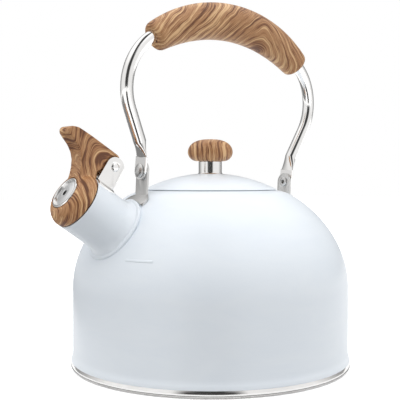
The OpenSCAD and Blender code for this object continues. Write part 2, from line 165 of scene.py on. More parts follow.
def sweep(name, stations, sides, place=None, smooth=40):
    # stations are (x, z, turn about Y in degrees, half width along Y, half depth), all rings of one tube
    x, z, turn, wide, deep = stations[0]
    deselectAll()
    bpy.ops.mesh.primitive_circle_add(vertices=sides, radius=mm, fill_type='NGON',
                                      location=(x * mm, 0, z * mm), rotation=(0, math.radians(turn), 0))
    piece = bpy.context.object
    piece.name = name
    piece.scale = (deep, wide, 1)
    bpy.ops.object.transform_apply(location=True, rotation=True, scale=True)
    bpy.ops.object.mode_set(mode='EDIT')
    bpy.ops.mesh.select_all(action='SELECT')
    for last, new in zip(stations, stations[1:]):
        step = Vector((new[0] - last[0], 0, new[1] - last[1])) * mm
        centre = Vector((new[0], 0, new[1])) * mm
        bpy.ops.mesh.extrude_region_move(TRANSFORM_OT_translate={"value": step})
        if abs(new[2] - last[2]) > 1e-6:
            bpy.ops.transform.rotate(value=-math.radians(new[2] - last[2]), orient_axis='Y',
                                     orient_type='GLOBAL', center_override=centre)
        depth = new[4] / last[4]
        bpy.ops.transform.resize(value=(depth, new[3] / last[3], depth), orient_type='GLOBAL',
                                 center_override=centre)
    return settle(piece, place, smooth)


def applyModifier(piece, kind, **settings):
    makeActive(piece)
    modifier = piece.modifiers.new("work", kind)
    for key, value in settings.items():
        setattr(modifier, key, value)
    bpy.ops.object.modifier_apply(modifier=modifier.name)


def carve(piece, tool):
    applyModifier(piece, 'BOOLEAN', operation='DIFFERENCE', solver='EXACT', object=tool)
    bpy.data.objects.remove(tool)
    settle(piece)


def joinPieces(pieces):
    deselectAll()
    for piece in pieces:
        piece.select_set(True)
    bpy.context.view_layer.objects.active = pieces[0]
    bpy.ops.object.join()
    return bpy.context.object


def rod(name, radius, low, high, place, sides=48):
    # closed cylinder between two heights on the place's Z axis
    return spinOutline(name, [(0, low), (radius, low), (radius, high), (0, high)], sides, place)


def eased(node, name, width, angle=30):
    # copy of a CAD node with its sharp edges broken
    deselectAll()
    source = nodes[node]
    source.select_set(True)
    bpy.context.view_layer.objects.active = source
    bpy.ops.object.duplicate()
    piece = bpy.context.object
    piece.name = name
    piece.parent = None
    for key in list(piece.keys()):
        del piece[key]
    piece.data.materials.clear()
    bpy.ops.object.mode_set(mode='EDIT')
    bpy.ops.mesh.select_all(action='SELECT')
    bpy.ops.mesh.remove_doubles(threshold=0.002 * mm)
    bpy.ops.mesh.dissolve_limited(angle_limit=math.radians(0.5))
    bpy.ops.object.mode_set(mode='OBJECT')
    if piece.data.has_custom_normals:
        bpy.ops.mesh.customdata_custom_splitnormals_clear()
    applyModifier(piece, 'BEVEL', width=width * mm, segments=2, limit_method='ANGLE',
                  angle_limit=math.radians(angle))
    bpy.ops.object.shade_smooth_by_angle(angle=math.radians(angle))
    return piece


def finishPiece(piece, body, slot, material, *replaced):
    if not piece.data.materials:
        piece.data.materials.append(material)
    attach(piece, body)
    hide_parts(*replaced)


# materials
def newMaterial(name, settings):
    made = bpy.data.materials.new(name)
    made.use_nodes = True
    shader = made.node_tree.nodes["Principled BSDF"]
    for key, value in settings.items():
        shader.inputs[key].default_value = value
    return made, made.node_tree, shader


def newGroup(name, inputs, outputs):
    group = bpy.data.node_groups.new(name, 'ShaderNodeTree')
    for label, kind, value in inputs:
        socket = group.interface.new_socket(label, in_out='INPUT', socket_type=kind)
        if value is not None:
            socket.default_value = value
    for label, kind in outputs:
        group.interface.new_socket(label, in_out='OUTPUT', socket_type=kind)
    return group, group.nodes.new('NodeGroupInput'), group.nodes.new('NodeGroupOutput')


def mathNode(tree, operation, a, b=None, clamp=False):
    node = tree.nodes.new('ShaderNodeMath')
    node.operation = operation
    node.use_clamp = clamp
    for i, value in enumerate((a, b)):
        if isinstance(value, (int, float)):
            node.inputs[i].default_value = value
        elif value is not None:
            tree.links.new(value, node.inputs[i])
    return node.outputs[0]


def vectorNode(tree, operation, a, b):
    node = tree.nodes.new('ShaderNodeVectorMath')
    node.operation = operation
    for i, value in enumerate((a, b)):
        if isinstance(value, (tuple, Vector)):
            node.inputs[i].default_value = value
        else:
            tree.links.new(value, node.inputs[i])
    return node.outputs["Value"] if operation in ('DISTANCE', 'DOT_PRODUCT') else node.outputs["Vector"]


def noiseNode(tree, vector, scale, detail=3, rough=0.55, distortion=0):
    node = tree.nodes.new('ShaderNodeTexNoise')
    tree.links.new(vector, node.inputs["Vector"])
    for label, value in (("Scale", scale), ("Detail", detail), ("Roughness", rough),
                         ("Distortion", distortion)):
        if isinstance(value, (int, float)):
            node.inputs[label].default_value = value
        else:
            tree.links.new(value, node.inputs[label])
    return node.outputs["Fac"]


def rampNode(tree, fac, stops):
    node = tree.nodes.new('ShaderNodeValToRGB')
    tree.links.new(fac, node.inputs["Fac"])
    ramp = node.color_ramp
    for i, (place, colour) in enumerate(stops):
        stop = ramp.elements[i] if i < 2 else ramp.elements.new(place)
        stop.position = place
        stop.color = (*colour, 1) if isinstance(colour, tuple) else (colour, colour, colour, 1)
    return node.outputs["Color"]


def bumpNode(tree, height, strength, distance):
    node = tree.nodes.new('ShaderNodeBump')
    tree.links.new(height, node.inputs["Height"])
    node.inputs["Strength"].default_value = strength
    node.inputs["Distance"].default_value = distance
    return node.outputs["Normal"]


def mappedCoords(tree, turn=(0, 0, 0), centre=(0, 0, 0)):
    # object coordinates, turned and centred on a piece
    coords = tree.nodes.new('ShaderNodeTexCoord')
    mapping = tree.nodes.new('ShaderNodeMapping')
    mapping.vector_type = 'TEXTURE'
    mapping.inputs["Location"].default_value = centre
    mapping.inputs["Rotation"].default_value = [math.radians(a) for a in turn]
    tree.links.new(coords.outputs["Object"], mapping.inputs["Vector"])
    return mapping.outputs["Vector"]


# printed wood: long stripes that fold into an arch over X = 0, with a dark knot under the arch
wood = {
    "dark": (0.14, 0.05, 0.019),
    "brown": (0.34, 0.15, 0.06),
    "tan": (0.54, 0.29, 0.132),
    "pale": (0.74, 0.47, 0.24),
    "stripe": 190,         # stripes of the coarse layer, per metre
    "band": 290,           # steadier dark lines between them
    "fibre": 1500,
    "streak": 0.04,        # how fast the pattern changes along the grain
    "soft": 0.007,         # roundness of the arch, in metres
    "wander": 0.013,       # how far the stripes stray, in metres
    "phase": 9,            # how much the coarse stripes push the dark lines about
    "shares": (0.44, 0.055, 0.64, 0.16, -0.1),     # coarse stripes, dark lines, fibres, clouds, knot
    "tone": -0.12,         # higher is paler
    "noKnot": 0.001,
}


def woodGroup():
    group, start, end = newGroup("woodPrint", [
        ("Vector", 'NodeSocketVector', None),
        ("Spread", 'NodeSocketFloat', 1.0), ("Rise", 'NodeSocketFloat', 0.0),
        ("Tone", 'NodeSocketFloat', wood["tone"]), ("Knot Size", 'NodeSocketFloat', wood["noKnot"])],
        [("Color", 'NodeSocketColor'), ("Grain", 'NodeSocketFloat')])
    vector = start.outputs["Vector"]
    split = group.nodes.new('ShaderNodeSeparateXYZ')
    group.links.new(vector, split.inputs[0])
    arch = mathNode(group, 'SQRT', mathNode(group, 'ADD', mathNode(group, 'POWER', split.outputs["X"], 2),
                                            wood["soft"] ** 2))
    across = mathNode(group, 'MULTIPLY', noiseNode(group, vector, 26, 2), wood["wander"])
    for way, share in ((arch, "Spread"), (split.outputs["Z"], "Rise")):
        across = mathNode(group, 'ADD', across, mathNode(group, 'MULTIPLY', way, start.outputs[share]))
    join = group.nodes.new('ShaderNodeCombineXYZ')
    group.links.new(across, join.inputs["X"])
    group.links.new(mathNode(group, 'MULTIPLY', split.outputs["Y"], wood["streak"]), join.inputs["Y"])
    group.links.new(mathNode(group, 'MULTIPLY', split.outputs["Z"], wood["streak"]), join.inputs["Z"])
    broad = noiseNode(group, join.outputs[0], wood["stripe"], 2, 0.5)
    fine = noiseNode(group, join.outputs[0], wood["fibre"], 2, 0.6)
    cloud = noiseNode(group, vector, 60, 2)
    phase = mathNode(group, 'ADD', mathNode(group, 'MULTIPLY', across, 2 * math.pi * wood["band"]),
                     mathNode(group, 'MULTIPLY', broad, wood["phase"]))
    bands = mathNode(group, 'SINE', phase)
    away = vectorNode(group, 'DISTANCE', vector, (0, 0, 0))
    away = mathNode(group, 'POWER', mathNode(group, 'DIVIDE', away, start.outputs["Knot Size"]), 2)
    knot = mathNode(group, 'POWER', math.e, mathNode(group, 'MULTIPLY', away, -1))
    mixed = start.outputs["Tone"]
    for layer, share in zip((broad, bands, fine, cloud, knot), wood["shares"]):
        mixed = mathNode(group, 'ADD', mixed, mathNode(group, 'MULTIPLY', layer, share))
    colour = rampNode(group, mixed, [(0.38, wood["dark"]), (0.44, wood["brown"]), (0.495, wood["tan"]),
                                     (0.53, wood["brown"]), (0.6, wood["pale"])])
    group.links.new(colour, end.inputs["Color"])
    group.links.new(mixed, end.inputs["Grain"])
    return group


def woodMaterial(name, group, turn, centre, halfAngle, tone=wood["tone"], knotSize=wood["noKnot"]):
    # the two legs of the arch stand at halfAngle from its axis; 0 gives plain stripes
    made, tree, shader = newMaterial(name, {"Coat Roughness": 0.3, "IOR": 1.45})
    grainPrint = tree.nodes.new('ShaderNodeGroup')
    grainPrint.node_tree = group
    tree.links.new(mappedCoords(tree, turn, centre), grainPrint.inputs["Vector"])
    grainPrint.inputs["Spread"].default_value = math.cos(math.radians(halfAngle))
    grainPrint.inputs["Rise"].default_value = math.sin(math.radians(halfAngle))
    grainPrint.inputs["Tone"].default_value = tone
    grainPrint.inputs["Knot Size"].default_value = knotSize
    tree.links.new(grainPrint.outputs["Color"], shader.inputs["Base Color"])
    roughness = rampNode(tree, grainPrint.outputs["Grain"], [(0.35, 0.52), (0.65, 0.4)])
    tree.links.new(roughness, shader.inputs["Roughness"])
    tree.links.new(bumpNode(tree, grainPrint.outputs["Grain"], 0.25, 0.0003), shader.inputs["Normal"])
    return made


# surface effects shared by the lacquer and the metals
def clothMarksGroup():
    # wipe marks and a fine waviness
    group, start, end = newGroup("wipeMarks", [
        ("Vector", 'NodeSocketVector', None), ("Wave Scale", 'NodeSocketFloat', 300.0),
        ("Low", 'NodeSocketFloat', 0.2), ("High", 'NodeSocketFloat', 0.3)],
        [("Roughness", 'NodeSocketFloat'), ("Height", 'NodeSocketFloat'), ("Shade", 'NodeSocketFloat')])
    vector = start.outputs["Vector"]
    waves = noiseNode(group, vector, start.outputs["Wave Scale"], 2)
    wipes = noiseNode(group, vectorNode(group, 'MULTIPLY', vector, (1, 1, 3)), 22, 5, 0.6, 0.8)
    span = mathNode(group, 'SUBTRACT', start.outputs["High"], start.outputs["Low"])
    rough = mathNode(group, 'ADD', start.outputs["Low"], mathNode(group, 'MULTIPLY', span, wipes))
    group.links.new(rough, end.inputs["Roughness"])
    group.links.new(waves, end.inputs["Height"])
    group.links.new(wipes, end.inputs["Shade"])
    return group


def brushGroup():
    # brushed lines that run along Y of the vector
    group, start, end = newGroup("brushLines", [
        ("Vector", 'NodeSocketVector', None), ("Lines", 'NodeSocketFloat', 2500.0),
        ("Low", 'NodeSocketFloat', 0.2), ("High", 'NodeSocketFloat', 0.4)],
        [("Roughness", 'NodeSocketFloat'), ("Height", 'NodeSocketFloat'), ("Shade", 'NodeSocketFloat')])
    drawn = vectorNode(group, 'MULTIPLY', start.outputs["Vector"], (1, 0.02, 1))
    lines = noiseNode(group, drawn, start.outputs["Lines"], 2)
    stain = noiseNode(group, start.outputs["Vector"], 90, 3)
    mixed = mathNode(group, 'ADD', mathNode(group, 'MULTIPLY', lines, 0.6),
                     mathNode(group, 'MULTIPLY', stain, 0.4))
    span = mathNode(group, 'SUBTRACT', start.outputs["High"], start.outputs["Low"])
    rough = mathNode(group, 'ADD', start.outputs["Low"], mathNode(group, 'MULTIPLY', span, mixed))
    group.links.new(rough, end.inputs["Roughness"])
    group.links.new(lines, end.inputs["Height"])
    group.links.new(mixed, end.inputs["Shade"])
    return group


def coatedMaterial(name, group, settings, low, high, tones, bump, waveScale=300.0, turn=(0, 0, 0)):
    made, tree, shader = newMaterial(name, settings)
    marks = tree.nodes.new('ShaderNodeGroup')
    marks.node_tree = group
    tree.links.new(mappedCoords(tree, turn), marks.inputs["Vector"])
    marks.inputs[1].default_value = waveScale
    marks.inputs["Low"].default_value = low
    marks.inputs["High"].default_value = high
    tree.links.new(marks.outputs["Roughness"], shader.inputs["Roughness"])
    tree.links.new(rampNode(tree, marks.outputs["Shade"], [(0.3, tones[0]), (0.7, tones[1])]),
                   shader.inputs["Base Color"])
    tree.links.new(bumpNode(tree, marks.outputs["Height"], bump[0], bump[1]), shader.inputs["Normal"])
    return made


woodPrint = woodGroup()
wipeMarks = clothMarksGroup()
brushLines = brushGroup()
lacquer = coatedMaterial("whiteLacquer", wipeMarks,
                         {"Coat Weight": 0.25, "Coat Roughness": 0.22, "IOR": 1.5},
                         0.36, 0.46, ((0.785, 0.84, 0.9), (0.815, 0.865, 0.915)), (0.12, 0.0002), 420.0)
polishedSteel = coatedMaterial("polishedSteel", wipeMarks, {"Metallic": 1.0}, 0.05, 0.16,
                               ((0.8, 0.79, 0.775), (0.88, 0.87, 0.86)), (0.01, 0.0002), 160.0)
satinSteel = coatedMaterial("satinSteel", brushLines, {"Metallic": 1.0}, 0.26, 0.42,
                            ((0.54, 0.535, 0.525), (0.68, 0.675, 0.665)), (0.12, 0.00008), 2600.0, (90, 0, 0))
innerSteel = coatedMaterial("innerSteel", brushLines, {"Metallic": 1.0}, 0.2, 0.38,
                            ((0.5, 0.495, 0.48), (0.62, 0.61, 0.6)), (0.1, 0.00006), 1800.0)
heatAluminium = coatedMaterial("heatAluminium", brushLines, {"Metallic": 1.0}, 0.3, 0.5,
                               ((0.6, 0.6, 0.61), (0.72, 0.72, 0.73)), (0.1, 0.00008), 1500.0)
turnedBrass = coatedMaterial("turnedBrass", brushLines, {"Metallic": 1.0}, 0.2, 0.35,
                             ((0.62, 0.43, 0.18), (0.74, 0.55, 0.27)), (0.1, 0.00008), 2200.0, (90, 0, 0))
print("stage: materials")


# body: straight wall, domed top and filling neck in thin sheet
body = {
    "wallR": 98.5, "footR": 99.5, "sheet": 0.6, "rimZ": 5.3,
    "domeZ": 56, "domeH": 81.7, "domeSteps": 44,
    "flatR": 62, "flatDrop": 2.4, "flatRun": 14,
    "lipR": 46.6, "neckR": 45, "neckLowZ": 118.6,
    "markZ": 82, "markLength": 20, "markAngle": 203,
}


def domeHeight(r):
    drop = body["flatDrop"] * ((body["flatR"] - r) / body["flatRun"]) ** 2 if r < body["flatR"] else 0
    return body["domeZ"] + body["domeH"] * math.sqrt(max(0, 1 - (r / body["wallR"]) ** 2)) - drop


def domeRadii():
    steps = body["domeSteps"]
    span = body["wallR"] - body["lipR"]
    return [body["lipR"] + span * math.sin(math.pi / 2 * i / steps) for i in range(steps, -1, -1)]


def bodyPiece():
    rim, wall, neck, sheet = body["rimZ"], body["wallR"], body["neckR"], body["sheet"]
    outer = [(r, domeHeight(r)) for r in domeRadii()]
    inner = [(max(r - sheet * r / wall, neck + sheet), domeHeight(r) - sheet)
             for r in reversed(domeRadii())]
    lip = domeHeight(body["lipR"])
    outline = ([(body["footR"], rim), (body["footR"] - 0.1, rim + 1.6), (wall + 0.5, rim + 2.9),
                (wall + 0.15, rim + 4.2), (wall, rim + 6), (wall, 32)] + outer
               + [(neck + 0.6, lip - 0.1), (neck + 0.1, lip - 0.4), (neck, lip - 0.9),
                  (neck, body["neckLowZ"]), (neck + sheet, body["neckLowZ"])]
               + inner + [(wall - sheet, 32), (wall - sheet, rim)])
    shell = spinOutline("bodyShell", outline, 192)
    shell.data.materials.append(lacquer)
    shell.data.materials.append(innerSteel)
    for face in shell.data.polygons:
        outward = Vector((face.center.x, face.center.y, face.center.z - 0.05))
        face.material_index = 1 if face.normal.dot(outward) < 0 else 0
    carve(shell, rod("bore", spout["tubeR"] - body["sheet"], -70, -20, spoutAxis, 96))
    # pressed level line beside the spout
    r = body["wallR"] * math.sqrt(1 - ((body["markZ"] - body["domeZ"]) / body["domeH"]) ** 2)
    bead = roundCorners([(r - 0.3, body["markZ"] + 0.8), (r + 0.25, body["markZ"] + 0.55, 0.3),
                         (r + 0.6, body["markZ"] - 0.55, 0.3), (r + 0.3, body["markZ"] - 0.8)])
    turn = math.degrees(body["markLength"] / r)
    line = spinOutline("levelLine", bead, 24,
                       Matrix.Rotation(math.radians(body["markAngle"] + turn / 2), 4, 'Z'), turn)
    line.data.materials.append(lacquer)
    whole = joinPieces([shell, line])
    finishPiece(whole, "kettle", "white_lacquer", lacquer, "body_shell")


# spout frame: X' forward along the axis, Z' up across it
spout = {
    "place": (-117.7, 0, 124.5), "tilt": 34, "tubeR": 19, "mouthX": -11.4,
    "collarR": 22.3, "collarX": -44, "flareX": -34,
}
spoutFrame = (Matrix.Translation(Vector(spout["place"]) * mm)
              @ Matrix.Rotation(math.radians(spout["tilt"]), 4, 'Y') @ Matrix.Rotation(math.pi, 4, 'Z'))
spoutAxis = spoutFrame @ Matrix.Rotation(math.radians(90), 4, 'Y')
# outlines drawn in XY stand up in the spout's middle plane
spoutPlane = spoutFrame @ Matrix.Rotation(math.radians(90), 4, 'X')


def domeTool():
    # the body as a solid, to cut the spout's end to its curve
    outline = [(0, 20), (body["wallR"], 20)] + [(r, domeHeight(r)) for r in domeRadii()]
    return spinOutline("domeTool", outline + [(0, domeHeight(body["lipR"]))], 192)


def spoutPiece():
    collar, x, tube, mouth = spout["collarR"], spout["collarX"], spout["tubeR"], spout["mouthX"]
    bead = [(collar + 0.1 + 1.1 * math.cos(a), x + 1.1 * math.sin(a))
            for a in [math.radians(d) for d in range(-90, 91, 15)]]
    flare = [(tube + (collar - 0.9 - tube) * (1 - t) ** 2.6, x + 1.3 + t * (spout["flareX"] - x - 1.3))
             for t in [i / 10 for i in range(11)]]
    outline = ([(tube - body["sheet"], -60), (collar, -60)] + bead + flare
               + [(tube, mouth - 0.3), (tube - 0.3, mouth), (tube - body["sheet"], mouth)])
    tube = spinOutline("spoutTube", outline, 128, spoutAxis)
    carve(tube, domeTool())
    finishPiece(tube, "kettle", "white_lacquer", lacquer, "spout_tube")


def basePiece():
    rim = body["rimZ"]
    outline = roundCorners([(0, 3.2), (94.6, 3.2), (95.4, 1.2, 0.3), (96.2, 0.35, 0.5), (98.6, 0.3, 1.4),
                            (100, 1.9, 1.4), (99.95, 3.3, 1.6), (99.2, rim, 0.3), (97.3, rim),
                            (96.7, 4), (0, 4)])
    piece = spinOutline("basePan", outline, 160)
    finishPiece(piece, "kettle", "polished_steel", polishedSteel, "base_pan")


# lid: shallow dome with a turned-down edge, knob on a steel stem
lid = {
    "r": 47.8, "z": 125.8, "topZ": 137.2, "sheet": 0.8, "boreR": 2.2,
    "stemR": 8.4, "knobZ": 145.9, "knobTopZ": 161.7, "knobMidZ": 152.4, "knobR": 16.2,
}
lidArc = (lid["r"] ** 2 + (lid["topZ"] - lid["z"]) ** 2) / (2 * (lid["topZ"] - lid["z"]))


def lidHeight(r):
    return lid["topZ"] - lidArc + math.sqrt(lidArc ** 2 - r * r)


def lidPiece():
    edge, bore, sheet = lid["r"], lid["boreR"], lid["sheet"]
    radii = [bore + (edge - 0.5 - bore) * i / 28 for i in range(29)]
    outline = ([(r, lidHeight(r)) for r in radii]
               + [(edge - 0.15, lid["z"] + 0.1), (edge, lid["z"] - 0.05), (edge - 0.1, lid["z"] - 0.3),
                  (edge - 0.9, lid["z"] - 0.3)]
               + [(min(r, edge - 0.9), lidHeight(r) - sheet) for r in reversed(radii)])
    piece = spinOutline("lidShell", outline, 128)
    finishPiece(piece, "lid", "white_lacquer", lacquer, "lid_shell")


def knobPieces():
    mid, low, wide = lid["knobMidZ"], lid["knobZ"], lid["knobR"]
    foot = [(9.6 + (wide - 9.6) * math.cos(a), mid + (mid - low) * math.sin(a))
            for a in [math.radians(d) for d in range(-88, 1, 8)]]
    top = [(wide * math.cos(a) ** 0.72, mid + (lid["knobTopZ"] - mid) * math.sin(a))
           for a in [math.radians(d) for d in range(6, 90, 6)]]
    knob = spinOutline("lidKnob", [(3, low + 8), (3, low), (9.2, low)] + foot + top + [(0, lid["knobTopZ"]),
                       (0, low + 8)], 96)
    finishPiece(knob, "lid", "wood_grain_plastic", knobWood, "lid_knob")
    r = lid["stemR"]
    outline = [(lid["boreR"], lidHeight(0)), (r + 0.9, lidHeight(r + 0.9))]
    outline += [(r + 0.9 * (1 - math.sin(a)), lidHeight(r) + 0.9 * (1 - math.cos(a)) + 0.02)
                for a in [math.radians(d) for d in range(15, 91, 15)]]
    outline += [(r, low - 0.4), (r - 0.3, low), (lid["boreR"], low)]
    stem = spinOutline("knobStem", outline, 96)
    finishPiece(stem, "lid", "polished_steel", polishedSteel, "knob_stem")


# whistle cap: rounded nose with a thumb lever that sweeps up and forward
cap = {
    "noseR": 19, "back": -11, "faceR": 12.3, "faceX": -0.3, "bulgeX": -8.6, "bulge": 1.18,
    "leverW": 7.2, "tailW": 6.1, "pinX": -18, "pinN": 31.65, "earR": 7.5, "tailR": 5.9,
    "seatR": 11.55, "seatX": -1.2, "pocketR": 17.3, "pocketX": -7.8, "sleeveR": 10.75,
    "bezelIn": 10, "lipR": 11.1,
    "voxel": 0.45, "edge": 2.4,
}
leverOutline = [(-6, 8), (-0.6, 8), (0, 10.4), (0.9, 13.8), (2.5, 18.2), (4.9, 22.4, 3), (8, 25.7, 4),
                (12.3, 28.3, 8), (17.6, 30, 5), (22.4, 31.8, 3), (22.6, 35.8, 3.6), (17.4, 38.2, 5),
                (12.9, 38.6), (6.8, 39.1), (-10, 39.7), (-17.3, 39.9, 1)]


def leverTail():
    x, n, r = cap["pinX"], cap["pinN"], cap["tailR"]
    arc = [(x + r * math.cos(a), n + r * math.sin(a))
           for a in [math.radians(d) for d in range(150, 271, 10)]]
    return [(x + 14, 39.2), (x + 1, 39.4), (x - 3, 38.2)] + arc + [(x + 14, n - 4.4)]


def capPiece():
    nose = [(0, cap["back"]), (cap["noseR"] - 0.4, cap["back"]), (cap["noseR"], cap["back"] + 0.4)]
    nose += [(cap["faceR"] + (cap["noseR"] - cap["faceR"]) * math.cos(a) ** cap["bulge"],
              cap["bulgeX"] + (cap["faceX"] - cap["bulgeX"]) * math.sin(a) ** cap["bulge"])
             for a in [math.radians(d) for d in range(0, 91, 6)]]
    parts = [spinOutline("whistleCap", nose + [(0, cap["faceX"])], 96, spoutAxis)]
    clear = [(cap["pinX"] + cap["earR"] * math.cos(a), cap["pinN"] + cap["earR"] * math.sin(a))
             for a in [math.radians(d) for d in range(90, -1, -10)]]
    wide = roundCorners(leverOutline) + clear + [(cap["pinX"] + cap["earR"], 17.4)]
    lever = slab("lever", wide, -cap["leverW"], cap["leverW"], spoutPlane)
    applyModifier(lever, 'BEVEL', width=cap["edge"] * mm, segments=4, limit_method='ANGLE',
                  angle_limit=math.radians(50))
    parts.append(lever)
    parts.append(slab("tail", leverTail(), -cap["tailW"], cap["tailW"], spoutPlane))
    piece = joinPieces(parts)
    applyModifier(piece, 'REMESH', mode='VOXEL', voxel_size=cap["voxel"] * mm)
    applyModifier(piece, 'SMOOTH', factor=0.6, iterations=14)
    seat, deep = cap["seatR"], cap["pocketX"]
    stepped = [(0, deep - 0.5), (cap["sleeveR"], deep - 0.5), (cap["sleeveR"], cap["seatX"]),
               (seat, cap["seatX"]), (seat, 3), (seat + 0.6, 6), (0, 6)]
    carve(piece, spinOutline("seat", stepped, 96, spoutAxis))
    carve(piece, spinOutline("pocket", [(0, cap["back"] - 2), (cap["pocketR"], cap["back"] - 2),
                                        (cap["pocketR"], deep), (0, deep)], 96, spoutAxis))
    # finger-sized notch under the lever, in front of the ears
    notch = roundCorners([(-15, 18.9), (-9.4, 19.2, 1), (-8.6, 22.4, 1.6), (-10.8, 25.4, 1), (-15, 25.6)])
    carve(piece, slab("notch", notch, -12, 12, spoutPlane))
    pocket = [(cap["pinX"] - 9, 19.6), (cap["pinX"] + 11.5, 19.6), (cap["pinX"] + 11.5, cap["pinN"] + 1),
              (cap["pinX"] - 9, cap["pinN"] + 1)]
    carve(piece, slab("springPocket", pocket, -3.5, 3.5, spoutPlane))
    pinPlace = spoutFrame @ Matrix.Translation(Vector((cap["pinX"], 0, cap["pinN"])) * mm)
    pinPlace = pinPlace @ Matrix.Rotation(math.radians(90), 4, 'X')
    carve(piece, rod("pinBore", 1.65, -20, 20, pinPlace, 32))
    carve(piece, rod("coilBore", 3.6, -3.5, 3.5, pinPlace, 48))
    finishPiece(piece, "whistle", "wood_grain_plastic", capWood, "whistle_cap")


def whistlePieces():
    sleeve, lip, low = cap["bezelIn"], cap["lipR"], cap["seatX"]
    bezel = roundCorners([(sleeve, cap["pocketX"]), (10.7, cap["pocketX"]), (10.7, low), (lip, low),
                          (lip, 0.5, 0.7), (9.3, 0.5, 0.7), (9.3, -0.9), (sleeve, -0.9)])
    piece = spinOutline("whistleBezel", bezel, 96, spoutAxis)
    finishPiece(piece, "whistle", "polished_steel", polishedSteel, "whistle_bezel")
    front = roundCorners([(1.9, 0.1, 0.2), (4.5, 0, 2), (7.2, -0.4, 2), (9.2, -0.9, 1), (sleeve, -0.9),
                          (sleeve, -1.5), (9.2, -1.5, 1), (7.2, -1, 2), (4.5, -0.6, 2), (1.9, -0.5, 0.2)])
    piece = spinOutline("whistleDisc", front, 96, spoutAxis)
    finishPiece(piece, "whistle", "satin_steel", discSteel, "whistle_front_disc")


# bail frame: X' from front to rear through the rivets, Z' up the bail
bail = {
    "tilt": 4, "plateIn": 67.1, "plateT": 1.7, "plateR": 6.25, "plateTop": 9.6, "boreR": 2.55,
    "tubeR": 4.35, "tubeAngle": 64.5, "tubeRun": 23.6, "bend": (44.6, 58), "bendR": 40, "bendEnd": 72,
    "gripR": 115.3, "gripZ": -4.3, "gripHalf": 35.3, "gripH": 26.4, "gripW": 25,
}
axis = joints["bail_fold"]["axis"]
bailFrame = (Matrix.Translation(joints["bail_fold"]["pos_m"])
             @ Matrix.Rotation(math.atan2(-axis[2], axis[0]), 4, 'Y')
             @ Matrix.Rotation(math.radians(bail["tilt"]), 4, 'X'))


def armStations(side):
    angle = math.radians(bail["tubeAngle"])
    cx, cz = bail["bend"]
    startX, startZ = cx + bail["bendR"] * math.sin(angle), cz - bail["bendR"] * math.cos(angle)
    footX, footZ = startX - bail["tubeRun"] * math.cos(angle), startZ - bail["tubeRun"] * math.sin(angle)
    stations = []
    for i in range(13):
        t = i / 12
        b = t ** 1.3
        x = (1 - t) * (bail["plateIn"] + bail["plateT"] / 2) + t * footX
        z = (1 - t) * (bail["plateTop"] - 0.6) + t * footZ
        stations.append((side * x, z, side * (90 - bail["tubeAngle"]) * t,
                         (1 - b) * (bail["plateR"] - 0.1) + b * bail["tubeR"],
                         (1 - b) * (bail["plateT"] / 2 - 0.03) + b * bail["tubeR"]))
    for i in range(29):
        a = bail["tubeAngle"] - 90 + (bail["bendEnd"] + 90 - bail["tubeAngle"]) * i / 28
        rad = math.radians(a)
        stations.append((side * (cx + bail["bendR"] * math.cos(rad)), cz + bail["bendR"] * math.sin(rad),
                         side * -a, bail["tubeR"], bail["tubeR"]))
    return stations


def armPiece(name, side, node):
    tube = sweep(name, armStations(side), 40, bailFrame)
    r, top = bail["plateR"], bail["plateTop"]
    arc = [(r * math.cos(a), r * math.sin(a)) for a in [math.radians(d) for d in range(180, 361, 10)]]
    # drawn in XY, then stood up across the bail
    quarter = math.radians(90)
    stand = bailFrame @ Matrix.Rotation(quarter, 4, 'Z') @ Matrix.Rotation(quarter, 4, 'X')
    low = bail["plateIn"] if side > 0 else -bail["plateIn"] - bail["plateT"]
    plate = slab("plate", arc + [(r, top), (-r, top)], low, low + bail["plateT"], stand)
    bore = rod("bore", bail["boreR"], low - 1, low + bail["plateT"] + 1,
               bailFrame @ Matrix.Rotation(math.radians(90), 4, 'Y'), 48)
    carve(plate, bore)
    applyModifier(plate, 'BEVEL', width=0.25 * mm, segments=2, limit_method='ANGLE',
                  angle_limit=math.radians(40))
    whole = joinPieces([tube, plate])
    whole.name = name
    bpy.ops.object.shade_smooth_by_angle(angle=math.radians(35))
    finishPiece(whole, "bail", "polished_steel", polishedSteel, node)


def gripPiece():
    stations = []
    half = bail["gripHalf"]
    ends = [(1, 0.70), (0.999, 0.80), (0.994, 0.88), (0.985, 0.945), (0.972, 0.985)]
    places = [(-t, s) for t, s in ends] + [(-0.95 + 1.9 * i / 26, 1) for i in range(27)]
    places += [(t, s) for t, s in reversed(ends)]
    for t, s in places:
        a = t * half
        swell = s * (1 - 0.23 * abs(t) ** 2.2)
        rad = math.radians(a)
        stations.append((bail["gripR"] * math.sin(rad), bail["gripZ"] + bail["gripR"] * math.cos(rad),
                         90 + a, swell * bail["gripW"] / 2, swell * bail["gripH"] / 2))
    piece = sweep("bailGrip", stations, 48, bailFrame)
    for side in (1, -1):
        tube = [(x, z, turn, wide + 0.15, deep + 0.15) for x, z, turn, wide, deep in armStations(side)[30:]]
        carve(piece, sweep("tubeBore", tube, 32, bailFrame))
    finishPiece(piece, "bail", "wood_grain_plastic", gripWood, "grip")


